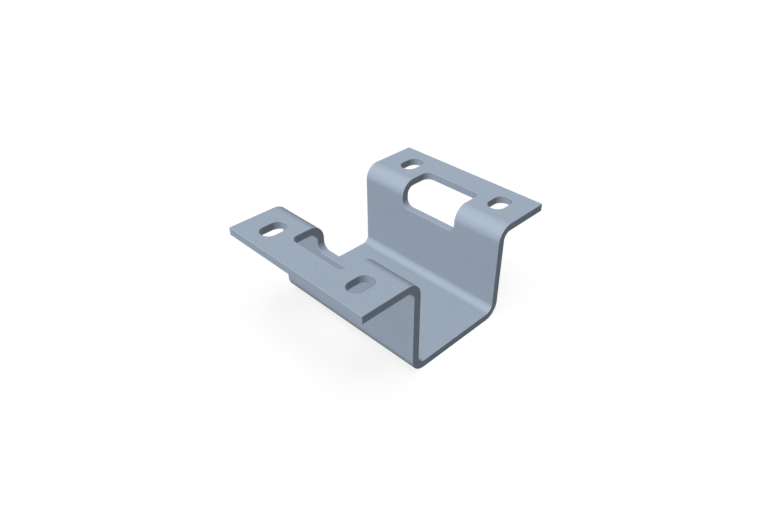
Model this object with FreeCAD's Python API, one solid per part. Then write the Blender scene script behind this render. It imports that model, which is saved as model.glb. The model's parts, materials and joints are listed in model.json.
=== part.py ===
import FreeCAD
import Part

import os
from math import cos, tan

# Bracket clamp folded from one sheet of steel, in millimetres.
# A channel open at the top holds the clamped bar. A flange stands out level on each side of it,
# with two bolt slots, and a window is cut through each flange, over its fold and into the web.
# X runs across the folds, Y along them and Z up. The origin is the middle of the base's underside.

# Sheet and folds
sheet = 3.0               # thickness
bend_radius = 3.0         # inside radius of all four folds
length = 67.2             # along the folds

# Channel and flanges
channel_width = 40.0      # between the inner faces of the webs
channel_depth = 36.0      # from the clamping plane, which is the flanges' top, to the channel's floor
flange_reach = 25.0       # from a web's inner face out to the flange's tip

# Bolt slots, two in each flange
slot_length = 10.4        # end to end, across the folds
slot_width = 6.8
slot_pitch = 44.1         # between the centres of one flange's slots, along the folds
slot_setback = 10.3       # from the flange's tip in to the slots' centres

# Windows, one over each top fold
window_width = 26.2       # along the folds
window_rim = 10.6         # flange left between the window and the flange's tip
window_drop = 10.5        # from the clamping plane down to the window's sill in the web
window_corner = 3.0       # radius of the window's corners

# Faces and fold centres that the sizes above give, on the side of positive X
web_inside = channel_width / 2
web_outside = web_inside + sheet
flange_tip = web_inside + flange_reach
flange_top = sheet + channel_depth
flange_underside = flange_top - sheet
fold_x = web_outside + bend_radius
fold_z = flange_underside - bend_radius


def rounded_chain(points, radii):
    """Edges through the points in order, with a tangent arc in place of each inner corner."""
    edges = []
    start = points[0]
    for before, corner, after, radius in zip(points, points[1:], points[2:], radii):
        into = (corner - before).normalize()
        out = (after - corner).normalize()
        half_turn = into.getAngle(out) / 2
        arc_start = corner - into * radius * tan(half_turn)
        arc_end = corner + out * radius * tan(half_turn)
        to_centre = (out - into).normalize()
        arc_middle = corner + to_centre * (radius / cos(half_turn) - radius)
        edges.append(Part.LineSegment(start, arc_start).toShape())
        edges.append(Part.Arc(arc_start, arc_middle, arc_end).toShape())
        start = arc_end
    edges.append(Part.LineSegment(start, points[-1]).toShape())
    return edges


def closed_face(*chains):
    """Plane face inside open chains of edges that are joined end to end by straight lines."""
    edges = []
    for chain, following in zip(chains, chains[1:] + chains[:1]):
        edges += chain
        edges.append(Part.LineSegment(chain[-1].lastVertex(True).Point,
                                      following[0].firstVertex(True).Point).toShape())
    return Part.Face(Part.Wire(edges))


def folded_sheet():
    """The hat section, carried along Y.

    The line of the sheet's upper side is drawn first, from tip to tip down through the channel,
    and the thickness is laid on its outside. So each fold's two arcs share one centre.
    """
    outside_radius = bend_radius + sheet
    upper_side = Part.Wire(rounded_chain([
        FreeCAD.Vector(-flange_tip, 0, flange_top),
        FreeCAD.Vector(-web_inside, 0, flange_top),
        FreeCAD.Vector(-web_inside, 0, sheet),
        FreeCAD.Vector(web_inside, 0, sheet),
        FreeCAD.Vector(web_inside, 0, flange_top),
        FreeCAD.Vector(flange_tip, 0, flange_top)],
        (outside_radius, bend_radius, bend_radius, outside_radius)))
    section = upper_side.makeOffset2D(-sheet, fill=True, openResult=True)
    section.translate(FreeCAD.Vector(0, -length / 2, 0))
    return section.extrude(FreeCAD.Vector(0, length, 0))


def bolt_slot(x, y):
    """Cutter for one slot, with round ends, through a flange."""
    end_radius = slot_width / 2
    end_centre = slot_length / 2 - end_radius
    bottom = flange_underside - sheet
    ends = []
    for side in (1, -1):
        ends.append([Part.Arc(
            FreeCAD.Vector(x + side * end_centre, y - side * end_radius, bottom),
            FreeCAD.Vector(x + side * (end_centre + end_radius), y, bottom),
            FreeCAD.Vector(x + side * end_centre, y + side * end_radius, bottom)).toShape()])
    return closed_face(*ends).extrude(FreeCAD.Vector(0, 0, flange_top + sheet - bottom))


def fold_window():
    """Cutter for the window on the side of positive X, square to the sheet all the way round.

    One prism goes down through the flange and one goes through the web. They meet over the fold,
    where the window's ends are plane and square to the fold.
    """
    half_width = window_width / 2
    rim = flange_tip - window_rim
    sill = flange_top - window_drop
    corners = (window_corner, window_corner)
    in_flange = closed_face(rounded_chain([
        FreeCAD.Vector(web_inside, -half_width, fold_z),
        FreeCAD.Vector(rim, -half_width, fold_z),
        FreeCAD.Vector(rim, half_width, fold_z),
        FreeCAD.Vector(web_inside, half_width, fold_z)], corners))
    in_web = closed_face(rounded_chain([
        FreeCAD.Vector(fold_x, -half_width, flange_top),
        FreeCAD.Vector(fold_x, -half_width, sill),
        FreeCAD.Vector(fold_x, half_width, sill),
        FreeCAD.Vector(fold_x, half_width, flange_top)], corners))
    down_through_flange = in_flange.extrude(FreeCAD.Vector(0, 0, flange_top + sheet - fold_z))
    through_web = in_web.extrude(FreeCAD.Vector(web_inside - sheet - fold_x, 0, 0))
    return down_through_flange.fuse(through_web)


def bracket():
    slot_x = flange_tip - slot_setback
    cutters = [bolt_slot(side * slot_x, end * slot_pitch / 2) for side in (-1, 1) for end in (-1, 1)]
    window = fold_window()
    cutters.append(window)
    cutters.append(window.mirror(FreeCAD.Vector(0, 0, 0), FreeCAD.Vector(1, 0, 0)))
    return folded_sheet().cut(cutters)


os.makedirs("parts", exist_ok=True)
bracket().exportStep("parts/clamp_bracket.step")
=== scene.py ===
import json
import math

import bpy
import numpy as np
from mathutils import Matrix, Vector


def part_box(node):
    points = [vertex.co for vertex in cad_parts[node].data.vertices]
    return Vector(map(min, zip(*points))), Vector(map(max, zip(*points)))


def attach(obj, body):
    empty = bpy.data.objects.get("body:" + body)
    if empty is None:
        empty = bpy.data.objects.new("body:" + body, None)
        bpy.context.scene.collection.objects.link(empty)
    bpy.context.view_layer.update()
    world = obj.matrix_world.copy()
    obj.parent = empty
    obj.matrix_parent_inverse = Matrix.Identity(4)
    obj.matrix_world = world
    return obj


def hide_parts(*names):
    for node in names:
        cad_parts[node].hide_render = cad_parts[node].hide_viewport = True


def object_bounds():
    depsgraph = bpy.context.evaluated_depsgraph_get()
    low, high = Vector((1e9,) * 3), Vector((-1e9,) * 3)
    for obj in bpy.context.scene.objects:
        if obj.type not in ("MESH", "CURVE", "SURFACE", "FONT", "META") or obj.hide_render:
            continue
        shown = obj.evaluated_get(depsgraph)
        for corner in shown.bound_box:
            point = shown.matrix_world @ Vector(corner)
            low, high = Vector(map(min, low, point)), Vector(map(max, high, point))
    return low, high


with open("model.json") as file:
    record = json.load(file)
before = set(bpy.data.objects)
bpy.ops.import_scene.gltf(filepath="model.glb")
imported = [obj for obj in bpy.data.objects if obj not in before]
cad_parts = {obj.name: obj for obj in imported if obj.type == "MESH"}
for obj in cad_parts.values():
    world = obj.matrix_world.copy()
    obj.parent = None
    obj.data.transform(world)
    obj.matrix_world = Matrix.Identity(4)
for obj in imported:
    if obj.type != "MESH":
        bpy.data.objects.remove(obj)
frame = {"record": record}
cadLow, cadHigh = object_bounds()
mm = 0.001
print("frame: a bracket of", [round(side / mm, 1) for side in cadHigh - cadLow], "mm")


# The folded sheet, in millimetres. Its outer sizes and its slots come from the frame.
sheetValues = {
    "thickness": 3.0,
    "insideRadius": 3.0,     # of all four folds
    "channelWidth": 40.0,    # between the webs' inner faces
    "windowWidth": 26.2,     # along the folds
    "windowRim": 10.6,       # flange left between a window and the flange's tip
    "windowDrop": 10.5,      # from the flange's top down to a window's sill
    "windowCorner": 3.0,
    "outerCorner": 0.2,      # plan radius of the blank's corners
    "cutEdge": 0.15,         # radius of the deburred and coated cut edges
    "holeMargin": 2.1,       # width of the ring of faces round a hole
    "fineStep": 0.6,         # spacing of the grid's lines beside the holes
    "wideStep": 3.0,         # and elsewhere
    "foldSteps": 24,         # faces round a fold
    "ringSteps": 3,          # faces across a hole's ring
    "edgeSteps": 5,          # faces round a cut edge's radius
    "wallSteps": 3,          # faces down a cut wall
    "weld": 0.001,           # points closer than this are one
    "mapGap": 0.8,           # between the islands of the map
}
upperFace, lowerFace, cutWall = 0, 1, 2      # which island of the map a cell is on


def flatPattern(values, low, high, slots):
    # The blank, in metres, measured at mid thickness from the middle of the base. Across the folds
    # a flat counts as it is, and a fold a quarter turn at mid thickness.
    thick = values["thickness"] * mm
    bend = values["insideRadius"] * mm
    inner = values["channelWidth"] * mm / 2
    radius = bend + thick / 2
    fold = math.pi / 2 * radius
    base = inner - bend
    webStart = base + fold
    webEnd = webStart + high.z - low.z - 2 * (thick + bend)
    flangeStart = webEnd + fold
    tip = flangeStart + high.x - inner - thick - bend
    sill = webStart + high.z - low.z - values["windowDrop"] * mm - thick - bend
    rim = tip - values["windowRim"] * mm
    holes = []
    for side in (-1, 1):
        holes.append({"u": side * (sill + rim) / 2, "v": 0.0, "halfU": (rim - sill) / 2,
                      "halfV": values["windowWidth"] * mm / 2, "corner": values["windowCorner"] * mm})
        for end in (-1, 1):
            holes.append({"u": side * (tip - high.x + slots["spacing_x_mm"] * mm / 2),
                          "v": end * slots["spacing_y_mm"] * mm / 2,
                          "halfU": slots["slot_length_mm"] * mm / 2,
                          "halfV": slots["hole_r_mm"] * mm, "corner": slots["hole_r_mm"] * mm})
    return {"half": thick / 2, "radius": radius, "fold": fold, "base": base, "webStart": webStart,
            "webEnd": webEnd, "flangeStart": flangeStart, "tip": tip, "end": (high.y - low.y) / 2,
            "holes": holes}


def gridLines(stops, steps):
    # Lines from each stop to the next, evenly spaced and about that stretch's step apart.
    parts = [np.linspace(a, b, max(1, round((b - a) / step)), endpoint=False)
             for a, b, step in zip(stops, stops[1:], steps)]
    return np.append(np.concatenate(parts), stops[-1])


def linesAcross(flat, values, axis, half, ownStops):
    # Both ways from the middle: a line at every stop, at each hole's ring and at the ends of its
    # straight sides. Between those the lines take a fold's own step over a fold, the fine step
    # beside the holes and the wide step elsewhere.
    margin = values["holeMargin"] * mm
    marks, fine = list(ownStops), []
    for hole in flat["holes"]:
        centre, reach = abs(hole[axis]), hole["half" + axis.upper()]
        straight = reach - hole["corner"]
        fine.append((centre - reach - margin, centre + reach + margin))
        marks += [centre - reach - margin, centre - straight]
        marks += [centre + straight, centre + reach + margin]
    stops = [0.0]
    for mark in sorted(marks) + [half]:
        if mark > stops[-1] + values["weld"] * mm:
            stops.append(mark)
    steps = []
    for a, b in zip(stops, stops[1:]):
        beside = any(low < (a + b) / 2 < high for low, high in fine)
        steps.append((values["fineStep"] if beside else values["wideStep"]) * mm)
        inFold = any(start < (a + b) / 2 < start + flat["fold"]
                     for start in (flat["base"], flat["webEnd"]))
        if axis == "u" and inFold:
            steps[-1] = flat["fold"] / values["foldSteps"]
    line = gridLines(stops, steps)
    return np.concatenate([-line[:0:-1], line])


def cellCorners(grid):
    # The four corners of every cell of a grid, in turn round the cell.
    return np.stack([grid[:-1, :-1], grid[1:, :-1], grid[1:, 1:], grid[:-1, 1:]], 2)


def faceGrid(flat, values, us, vs, top):
    # One face of the blank: a grid of the lines u by v at the height of half the sheet, without the
    # cells that the holes' rings cover.
    height = flat["half"] if top else -flat["half"]
    u, v = np.meshgrid(us, vs, indexing="ij")
    place = np.stack([u, v, np.full_like(u, height)], -1)
    cells = cellCorners(np.arange(u.size).reshape(u.shape))
    middleU, middleV = (u[:-1, :-1] + u[1:, 1:]) / 2, (v[:-1, :-1] + v[1:, 1:]) / 2
    kept = np.ones(middleU.shape, bool)
    for hole in flat["holes"]:
        kept &= ((abs(middleU - hole["u"]) > hole["halfU"] + values["holeMargin"] * mm)
                 | (abs(middleV - hole["v"]) > hole["halfV"] + values["holeMargin"] * mm))
    cells = cells[kept] if top else cells[kept][:, ::-1]
    normal = np.zeros_like(place)
    normal[..., 2] = np.sign(height)
    place = place.reshape(-1, 3)
    island = np.full(len(cells), upperFace if top else lowerFace)
    return place, normal.reshape(-1, 3), cells, island, place[cells][..., :2]


def wayAlong(line):
    # How far along a line each of its points is.
    return np.append(0, np.cumsum(np.linalg.norm(np.diff(line, axis=0), axis=1)))


def sleeveCells(place, ringCount, side):
    # A sleeve's cells, the island of the map that each is on, and its corners there: on a face where
    # they are on the blank, and on the wall the way along the loop by the way down the profile. The
    # outline's profile faces away from its core and a hole's faces its own, so one is turned over.
    number = np.arange(place.shape[0] * place.shape[1]).reshape(place.shape[:2])
    cells = cellCorners(np.concatenate([number, number[:1]]))
    island = np.full(cells.shape[:2], cutWall)
    island[:, :ringCount] = upperFace
    island[:, -ringCount:] = lowerFace
    closed = np.concatenate([place, place[:1]])
    down = wayAlong(place[0])
    down = down - down[ringCount] if side < 0 else down[-1 - ringCount] - down
    onWall = np.stack(np.broadcast_arrays(wayAlong(closed[:, place.shape[1] // 2])[:, None], down), -1)
    spot = np.where((island == cutWall)[..., None, None], cellCorners(onWall),
                    cellCorners(closed[..., :2]))
    turned = slice(None) if side < 0 else slice(None, None, -1)
    return cells.reshape(-1, 4)[:, turned], island.ravel(), spot.reshape(-1, 4, 2)[:, turned]


def cutSleeve(flat, values, core, away, start, edge, side):
    # The sheet's cut edge, carried along a loop. Each point of the loop has a core point and a
    # direction away from it, and start and edge are distances from the core. In that direction the
    # profile runs on the upper face from start towards edge, round the cut's radius, down the wall
    # and back on the lower face. Side is 1 where the metal is on the core's side of the edge, as on
    # the outline, and -1 round a hole.
    turn = np.linspace(0, math.pi / 2, values["edgeSteps"] + 1)
    ring = np.linspace(0, 1, values["ringSteps"], endpoint=False)
    wall = np.linspace(1, -1, values["wallSteps"] + 1)[1:-1]
    soft = values["cutEdge"] * mm
    still = np.zeros_like(ring)
    share = np.concatenate([ring, np.ones_like(turn)])       # of the way from start to the cut
    out = np.concatenate([still, np.sin(turn)])              # in radii of the cut, outwards
    drop = np.concatenate([still, 1 - np.cos(turn)])         # and downwards
    share = np.concatenate([share, np.ones_like(wall), share[::-1]])
    height = np.concatenate([flat["half"] - soft * drop, wall * (flat["half"] - soft),
                             (soft * drop - flat["half"])[::-1]])
    lean = np.concatenate([1 - drop, np.zeros_like(wall), (drop - 1)[::-1]])
    out = np.concatenate([out, np.ones_like(wall), out[::-1]])
    distance = start[:, None] * (1 - share) + (edge - side * soft) * share + side * soft * out
    place = np.empty((len(core), len(share), 3))
    place[..., :2] = core[:, None] + away[:, None] * distance[..., None]
    place[..., 2] = height
    normal = np.empty_like(place)
    normal[..., :2] = side * away[:, None] * out[None, :, None]
    normal[..., 2] = lean
    return place.reshape(-1, 3), normal.reshape(-1, 3), *sleeveCells(place, len(ring), side)


def holeCore(hole):
    # The middle of a hole, and the half sizes of its core: the hole less its corners' radius all
    # round, which is a rectangle, or a line in a slot.
    return (np.array([hole["u"], hole["v"]]),
            np.array([hole["halfU"], hole["halfV"]]) - hole["corner"])


def holeSleeve(flat, values, us, vs, hole):
    # The ring round one hole and the hole's own wall. The ring's outer loop goes anticlockwise round
    # a rectangle of grid lines. Each of its points slides towards the nearest point of the hole's
    # core until it is the corners' radius away.
    margin = values["holeMargin"] * mm + values["weld"] * mm
    u = us[abs(us - hole["u"]) < hole["halfU"] + margin]
    v = vs[abs(vs - hole["v"]) < hole["halfV"] + margin]
    loop = np.concatenate([np.stack(np.broadcast_arrays(u[:-1], v[0]), 1),
                           np.stack(np.broadcast_arrays(u[-1], v[:-1]), 1),
                           np.stack(np.broadcast_arrays(u[:0:-1], v[-1]), 1),
                           np.stack(np.broadcast_arrays(u[0], v[:0:-1]), 1)])
    centre, straight = holeCore(hole)
    core = centre + np.clip(loop - centre, -straight, straight)
    far = np.linalg.norm(loop - core, axis=1)
    return cutSleeve(flat, values, core, (loop - core) / far[:, None], far, hole["corner"], -1)


def outlineSleeve(flat, values, us, vs):
    # The blank's own edge: along each side of the grid a constant direction outwards, and at each
    # corner the corner point with directions that turn a quarter, which rounds it.
    fan = np.linspace(0, math.pi / 2, values["edgeSteps"] + 1)[1:-1]
    sides = [np.stack(np.broadcast_arrays(us, vs[0]), 1), np.stack(np.broadcast_arrays(us[-1], vs), 1),
             np.stack(np.broadcast_arrays(us[::-1], vs[-1]), 1),
             np.stack(np.broadcast_arrays(us[0], vs[::-1]), 1)]
    core, angle = [], []
    for index, line in enumerate(sides):
        facing = (index - 1) * math.pi / 2
        core += [line, np.repeat(line[-1:], len(fan), axis=0)]
        angle += [np.full(len(line), facing), facing + fan]
    core, angle = np.concatenate(core), np.concatenate(angle)
    away = np.stack([np.cos(angle), np.sin(angle)], 1)
    return cutSleeve(flat, values, core, away, np.zeros(len(core)), values["outerCorner"] * mm, 1)


def edgeDistance(flat, place):
    # How far each point of the blank lies from the nearest sharp edge: the way in from the cut plus
    # the way down from the face. From a hole, the way in is the distance from the hole's core less
    # the corners' radius, and from the outline it is the shorter way out.
    nearest = np.minimum(flat["tip"] - abs(place[:, 0]), flat["end"] - abs(place[:, 1]))
    for hole in flat["holes"]:
        centre, straight = holeCore(hole)
        beyond = np.maximum(abs(place[:, :2] - centre) - straight, 0)
        nearest = np.minimum(nearest, np.linalg.norm(beyond, axis=1) - hole["corner"])
    return np.maximum(nearest, 0) + flat["half"] - abs(place[:, 2])


def islandMap(flat, values, parts):
    # Where each cell's corners lie in a square, with no overlap, so that a bake through the map has no
    # seam over a fold. The upper face lies as the blank does and the lower one above it, turned
    # over. The cut walls lie end to end on a tape, which is cut into rows above both.
    gap = values["mapGap"] * mm
    faceHigh = 2 * flat["end"] + gap
    tapeHigh = (values["thickness"] + (math.pi - 2) * values["cutEdge"]) * mm + gap
    rowLong = 2 * flat["tip"] - values["wideStep"] * mm
    spots, start = [], 0.0
    for _, _, _, island, spot in parts:
        onTape = island == cutWall
        spots.append(spot + (start * onTape)[:, None, None] * (1, 0))
        start = max(start, spots[-1][onTape][..., 0].max(initial=-gap) + gap)
    spots = np.concatenate(spots)
    island = np.concatenate([part[3] for part in parts])
    spots[island == upperFace] += flat["tip"], flat["end"]
    under = island == lowerFace
    spots[under] = spots[under] * (-1, 1) + (flat["tip"], flat["end"] + faceHigh)
    wall = island == cutWall
    row = spots[wall][..., :1].min(1, keepdims=True) // rowLong
    spots[wall] += row * (-rowLong, tapeHigh) + (0, 2 * faceHigh)
    return (spots + gap) / (spots.max() + 2 * gap)


def foldUp(flat, low, place, normal):
    # The blank folded, point by point. The heading turns up by a through the lower fold and back
    # level by b through the upper one, so that x = base + R sin a + R (1 - cos b) + flange and
    # z = R (1 - cos a) + web + R sin b. The place in the thickness then goes along the sheet's own
    # upright, which is the heading turned a quarter. The left half mirrors the right.
    side, across = np.sign(place[:, 0]), abs(place[:, 0])
    radius = flat["radius"]
    a = np.clip((across - flat["base"]) / radius, 0, math.pi / 2)
    b = np.clip((across - flat["webEnd"]) / radius, 0, math.pi / 2)
    x = np.minimum(across, flat["base"]) + radius * (np.sin(a) + 1 - np.cos(b))
    x += np.maximum(across - flat["flangeStart"], 0)
    z = low.z + flat["half"] + radius * (1 - np.cos(a) + np.sin(b))
    z += np.clip(across - flat["webStart"], 0, flat["webEnd"] - flat["webStart"])
    heading = side * (a - b)
    along = np.stack([np.cos(heading), np.zeros_like(x), np.sin(heading)], 1)
    upright = np.stack([-np.sin(heading), np.zeros_like(x), np.cos(heading)], 1)
    point = np.stack([side * x, place[:, 1], z], 1) + place[:, 2:] * upright
    facing = normal[:, :1] * along + normal[:, 2:] * upright
    facing[:, 1] += normal[:, 1]
    return point, facing / np.linalg.norm(facing, axis=1, keepdims=True)


def foldedSheet(name, values, low, high, slots):
    # Both faces, every hole's sleeve and the outline's, welded where they meet and then folded. Each
    # part is its points, their normals, its cells, and each cell's island of the map and its corners
    # there.
    flat = flatPattern(values, low, high, slots)
    inset = values["outerCorner"] * mm
    us = linesAcross(flat, values, "u", flat["tip"] - inset,
                     [flat["base"], flat["webStart"], flat["webEnd"], flat["flangeStart"]])
    vs = linesAcross(flat, values, "v", flat["end"] - inset, [])
    parts = [faceGrid(flat, values, us, vs, True), faceGrid(flat, values, us, vs, False),
             outlineSleeve(flat, values, us, vs)]
    parts += [holeSleeve(flat, values, us, vs, hole) for hole in flat["holes"]]
    ahead = np.cumsum([0] + [len(part[0]) for part in parts])
    place = np.concatenate([part[0] for part in parts])
    normal = np.concatenate([part[1] for part in parts])
    cells = np.concatenate([part[2] + start for part, start in zip(parts, ahead)])
    spots = islandMap(flat, values, parts)
    used = np.unique(cells)
    _, first, group = np.unique(np.round(place[used] / (values["weld"] * mm)), axis=0,
                                return_index=True, return_inverse=True)
    newNumber = np.zeros(len(place), int)
    newNumber[used] = group.ravel()
    cells = newNumber[cells]
    place, normal = place[used][first], normal[used][first]
    same = cells == np.roll(cells, -1, axis=1)       # a cell with two equal points is a triangle
    fan = same.any(1)
    quads = cells[~fan]
    triangles = cells[fan][~same[fan]].reshape(-1, 3)
    point, facing = foldUp(flat, low, place, normal)
    mesh = bpy.data.meshes.new(name)
    mesh.from_pydata(point.tolist(), [], quads.tolist() + triangles.tolist())
    mesh.polygons.foreach_set("use_smooth", np.ones(len(mesh.polygons), bool))
    layer = mesh.uv_layers.new(name="OFBake")        # the map's own name for baking through; the name that the export looks for
    layer.data.foreach_set("uv", np.concatenate([spots[~fan].ravel(), spots[fan][~same[fan]].ravel()]))
    near = mesh.attributes.new("fromEdge", "FLOAT", "POINT")
    near.data.foreach_set("value", edgeDistance(flat, place).astype(np.float32))
    mesh.normals_split_custom_set_from_vertices(facing.tolist())
    print("sheet:", len(point), "points,", 2 * len(quads) + len(triangles), "triangles")
    return bpy.data.objects.new(name, mesh)


# The coat: a satin powder coat in blue grey. Sizes and heights are in millimetres, and a depth or
# lift is the share of the colour that a layer changes.
coatValues = {
    "colour": (156, 169, 185),   # in sRGB, out of 255
    "cloud": {"size": 22.0, "detail": 2.0, "depth": 0.015},     # where the coat is a little thicker
    "speck": {"size": 0.4, "detail": 1.0, "depth": 0.07},       # the powder's own colour
    "edge": {"width": 0.6, "lift": 0.04},                       # thin and lighter at a sharp edge
    "peel": {"size": 1.6, "detail": 1.5, "height": 0.035},      # orange peel
    "grain": {"size": 0.3, "detail": 1.0, "height": 0.012},     # the powder's own roughness
    "roughness": 0.55,
    "roughnessDepth": 0.1,       # either way, with the orange peel
    "specular": 0.15,
    "noiseRange": (0.25, 0.75),  # where nearly all of a noise lies
    "turn": (0.6, 0.45, 0.3),    # radians: no face lies along the noise's own grid, so all look alike
}


def linearColour(rgb):
    # From sRGB to linear light: the power 2.4 of a shifted value, and a straight line near black.
    value = np.array(rgb) / 255
    return np.where(value > 0.04045, ((value + 0.055) / 1.055) ** 2.4, value / 12.92)


def addNode(tree, kind, place, settings=None, inputs=None):
    # One node: settings are its own properties, and inputs go to sockets by name or number.
    node = tree.nodes.new(kind)
    node.location = place
    for key, value in (settings or {}).items():
        setattr(node, key, value)
    for key, value in (inputs or {}).items():
        node.inputs[key].default_value = value
    return node


def noiseFrom(tree, place, coordinate, layer):
    # Noise whose patches are about the layer's size across.
    node = addNode(tree, "ShaderNodeTexNoise", place, inputs={
        "Scale": 1 / (layer["size"] * mm), "Detail": layer["detail"]})
    tree.links.new(coordinate, node.inputs["Vector"])
    return node.outputs["Fac"]


def centred(tree, place, noise, middle, depth):
    # Turns noise about a half into a value about middle that varies by depth either way.
    lowest, highest = coatValues["noiseRange"]
    node = addNode(tree, "ShaderNodeMapRange", place, inputs={
        "From Min": lowest, "From Max": highest, "To Min": middle - depth, "To Max": middle + depth})
    tree.links.new(noise, node.inputs["Value"])
    return node.outputs["Result"]


def multiplied(tree, place, first, second):
    # One value times the other.
    node = addNode(tree, "ShaderNodeMath", place, {"operation": "MULTIPLY"})
    tree.links.new(first, node.inputs[0])
    tree.links.new(second, node.inputs[1])
    return node.outputs["Value"]


def raised(tree, place, noise, height, below=None):
    # The surface's own direction, tilted by the slope of noise times height. Below is the direction
    # that another layer has tilted already.
    node = addNode(tree, "ShaderNodeBump", place, inputs={"Strength": 1.0, "Distance": height * mm})
    tree.links.new(noise, node.inputs["Height"])
    if below:
        tree.links.new(below, node.inputs["Normal"])
    return node.outputs["Normal"]


def powderCoat(name, values):
    # The colour is one blue grey times three shares near 1: the clouds', the specks' and the edge's.
    # The height is orange peel plus the powder's grain.
    material = bpy.data.materials.new(name)
    material.use_nodes = True
    tree = material.node_tree
    tree.nodes.clear()
    output = addNode(tree, "ShaderNodeOutputMaterial", (900, 0))
    shader = addNode(tree, "ShaderNodeBsdfPrincipled", (600, 0),
                     inputs={"Specular IOR Level": values["specular"], "Metallic": 0.0})
    turned = addNode(tree, "ShaderNodeMapping", (-900, 0), inputs={"Rotation": values["turn"]})
    tree.links.new(addNode(tree, "ShaderNodeTexCoord", (-1150, 0)).outputs["Object"],
                   turned.inputs["Vector"])
    place = turned.outputs["Vector"]
    near = addNode(tree, "ShaderNodeAttribute", (-900, -300), {"attribute_name": "fromEdge"})
    cloud = noiseFrom(tree, (-650, 300), place, values["cloud"])
    speck = noiseFrom(tree, (-650, 60), place, values["speck"])
    peel = noiseFrom(tree, (-650, -500), place, values["peel"])
    grain = noiseFrom(tree, (-650, -740), place, values["grain"])
    edge = addNode(tree, "ShaderNodeMapRange", (-400, -220), {"interpolation_type": "SMOOTHSTEP"}, {
        "From Max": values["edge"]["width"] * mm, "To Min": 1 + values["edge"]["lift"], "To Max": 1.0})
    tree.links.new(near.outputs["Fac"], edge.inputs["Value"])
    share = multiplied(tree, (-150, 200),
                       centred(tree, (-400, 300), cloud, 1, values["cloud"]["depth"]),
                       centred(tree, (-400, 60), speck, 1, values["speck"]["depth"]))
    share = multiplied(tree, (50, 120), share, edge.outputs["Result"])
    colour = addNode(tree, "ShaderNodeVectorMath", (250, 120), {"operation": "SCALE"},
                     {0: linearColour(values["colour"])})
    tree.links.new(share, colour.inputs["Scale"])
    tree.links.new(colour.outputs["Vector"], shader.inputs["Base Color"])
    rough = centred(tree, (-400, -480), peel, values["roughness"], values["roughnessDepth"])
    tree.links.new(rough, shader.inputs["Roughness"])
    peeled = raised(tree, (100, -400), peel, values["peel"]["height"])
    grained = raised(tree, (350, -400), grain, values["grain"]["height"], peeled)
    tree.links.new(grained, shader.inputs["Normal"])
    tree.links.new(shader.outputs["BSDF"], output.inputs["Surface"])
    print("coat:", name, "of", len(tree.nodes), "nodes")
    return material


slots = next(mount["dims"] for mount in frame["record"]["mounts"] if mount["name"] == "flange_slots")
bracket = foldedSheet("bracketSheet", sheetValues, *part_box("clamp_bracket"), slots)
bracket.data.materials.append(powderCoat("powderCoat", coatValues))
bpy.context.scene.collection.objects.link(bracket)
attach(bracket, "root")
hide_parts("clamp_bracket")


# The floor and the white room. Sizes are in metres.
roomValues = {
    "floorHalf": 4.0,
    "floorAlbedo": 0.9,      # as seen: the rest of its white is its own light
    "floorLift": 0.14,
    "bounceAlbedo": 0.3,     # as the bracket sees it
    "worldLight": 0.04,      # on the bracket, while the background that shows is plain white
}


def grey(level):
    # A colour with the same level of red, green and blue, and nothing see-through.
    return level, level, level, 1


def seenDirectly(tree, place):
    # 1 for a ray from the camera, off a gloss or through a clear thing, and 0 for diffuse light.
    path = addNode(tree, "ShaderNodeLightPath", place)
    total = addNode(tree, "ShaderNodeMath", (place[0] + 200, place[1]), {"operation": "ADD"})
    tree.links.new(path.outputs["Is Camera Ray"], total.inputs[0])
    tree.links.new(path.outputs["Is Glossy Ray"], total.inputs[1])
    seen = addNode(tree, "ShaderNodeMath", (place[0] + 400, place[1]),
                   {"operation": "ADD", "use_clamp": True})
    tree.links.new(total.outputs["Value"], seen.inputs[0])
    tree.links.new(path.outputs["Is Transmission Ray"], seen.inputs[1])
    return seen.outputs["Value"]


def whiteFloor(values):
    # A flat square at the height that the bracket stands on. Where it shows it is matt and near
    # white, with its own light added, and to the light on the bracket it is a darker matt.
    half = values["floorHalf"]
    mesh = bpy.data.meshes.new("floor")
    mesh.from_pydata([(-half, -half, 0), (half, -half, 0), (half, half, 0), (-half, half, 0)], [],
                     [(0, 1, 2, 3)])
    material = bpy.data.materials.new("paleFloor")
    material.use_nodes = True
    tree = material.node_tree
    tree.nodes.clear()
    output = addNode(tree, "ShaderNodeOutputMaterial", (700, 0))
    shown = addNode(tree, "ShaderNodeBsdfDiffuse", (-100, 150),
                    inputs={"Color": grey(values["floorAlbedo"])})
    lift = addNode(tree, "ShaderNodeEmission", (-100, 0), inputs={"Strength": values["floorLift"]})
    bounce = addNode(tree, "ShaderNodeBsdfDiffuse", (-100, -150),
                     inputs={"Color": grey(values["bounceAlbedo"])})
    white = addNode(tree, "ShaderNodeAddShader", (150, 100))
    choice = addNode(tree, "ShaderNodeMixShader", (450, 0))
    tree.links.new(shown.outputs["BSDF"], white.inputs[0])
    tree.links.new(lift.outputs["Emission"], white.inputs[1])
    tree.links.new(seenDirectly(tree, (-300, 400)), choice.inputs["Fac"])
    tree.links.new(bounce.outputs["BSDF"], choice.inputs[1])
    tree.links.new(white.outputs["Shader"], choice.inputs[2])
    tree.links.new(choice.outputs["Shader"], output.inputs["Surface"])
    mesh.materials.append(material)
    floor = bpy.data.objects.new("floor", mesh)
    bpy.context.scene.collection.objects.link(floor)


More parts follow.
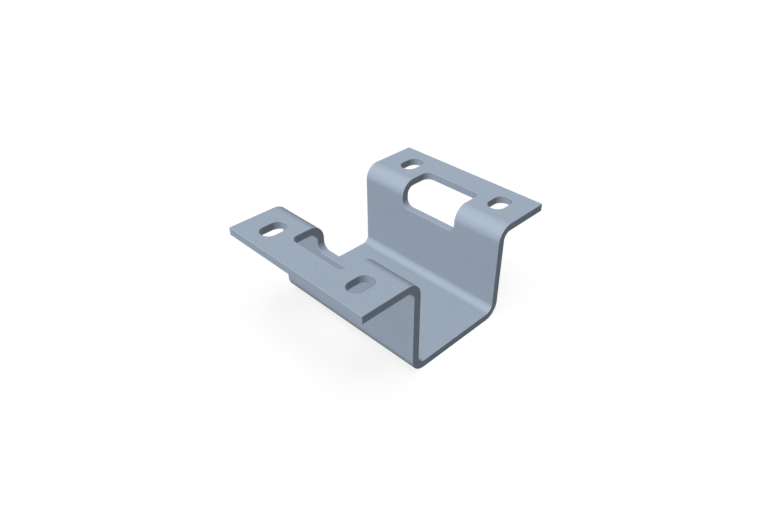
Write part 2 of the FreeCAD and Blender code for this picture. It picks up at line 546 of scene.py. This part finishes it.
def whiteWorld(values):
    # Plain white where it shows, and the room's own faint light on the bracket.
    world = bpy.data.worlds.new("whiteRoom")
    world.use_nodes = True
    tree = world.node_tree
    tree.nodes.clear()
    output = addNode(tree, "ShaderNodeOutputWorld", (600, 0))
    light = addNode(tree, "ShaderNodeBackground", (100, -100), inputs={
        "Color": grey(1), "Strength": values["worldLight"]})
    shown = addNode(tree, "ShaderNodeBackground", (100, 100), inputs={
        "Color": grey(1), "Strength": 1.0})
    choice = addNode(tree, "ShaderNodeMixShader", (400, 0))
    tree.links.new(seenDirectly(tree, (-500, 300)), choice.inputs["Fac"])
    tree.links.new(light.outputs["Background"], choice.inputs[1])
    tree.links.new(shown.outputs["Background"], choice.inputs[2])
    tree.links.new(choice.outputs["Shader"], output.inputs["Surface"])
    bpy.context.scene.world = world


# The lamps. A level of 1 lights a face square to the lamp so that its colour renders as written. A
# fill casts no shadow and isn't passed on from face to face, so it is even light on every face that
# is turned to it. The overhead light gives the soft shadows.
lampValues = {
    "key": {"from": (-0.735, 0, 0.775), "level": 1.085, "spread": 5, "fill": True, "gloss": True},
    "lowFill": {"from": (0.236, -0.177, -0.3), "level": 0.433, "spread": 5, "fill": True, "gloss": False},
    "backFill": {"from": (0.3, 0.25, -0.28), "level": 0.48, "spread": 5, "fill": True, "gloss": False},
    "overhead": {"from": (-0.1, -0.1, 1), "level": 0.15, "spread": 40, "fill": False, "gloss": True},
}


def addLamp(name, values):
    # A sun shines along its own Z. Its strength is pi times the level, because a strength of pi
    # renders a matt white face that is square to it as 1.
    light = bpy.data.lights.new(name, "SUN")
    light.energy = math.pi * values["level"]
    light.angle = math.radians(values["spread"])
    if values["fill"]:
        light.use_shadow = False
        light.cycles.max_bounces = 0
    lamp = bpy.data.objects.new(name, light)
    lamp.rotation_euler = Vector(values["from"]).to_track_quat("Z", "Y").to_euler()
    lamp.visible_glossy = values["gloss"]
    bpy.context.scene.collection.objects.link(lamp)


# The camera looks along a cube's diagonal at the middle of the bracket's box.
cameraValues = {
    "lens": 29.94,           # on a sensor 36 mm wide
    "distance": 241.6,       # mm
    "from": (-1, -1, 1),
    "aside": (0, 0.09, 0),   # mm, that the camera stood to one side of the diagonal
    "clipStart": 10.0,       # mm
}


def addCamera(values, low, high):
    # It stands the distance back from the box's middle along its direction, and a little aside, and
    # looks back along that direction.
    data = bpy.data.cameras.new("camera")
    data.lens = values["lens"]
    data.clip_start = values["clipStart"] * mm
    camera = bpy.data.objects.new("camera", data)
    back = Vector(values["from"]).normalized()
    camera.location = (low + high) / 2 + (back * values["distance"] + Vector(values["aside"])) * mm
    camera.rotation_euler = back.to_track_quat("Z", "Y").to_euler()
    bpy.context.scene.collection.objects.link(camera)
    bpy.context.scene.camera = camera


whiteFloor(roomValues)
whiteWorld(roomValues)
for lampName, lamp in lampValues.items():
    addLamp(lampName, lamp)
addCamera(cameraValues, cadLow, cadHigh)
bpy.context.scene.view_settings.view_transform = "Standard"
print("room: floor, world,", len(lampValues), "lamps and the camera")
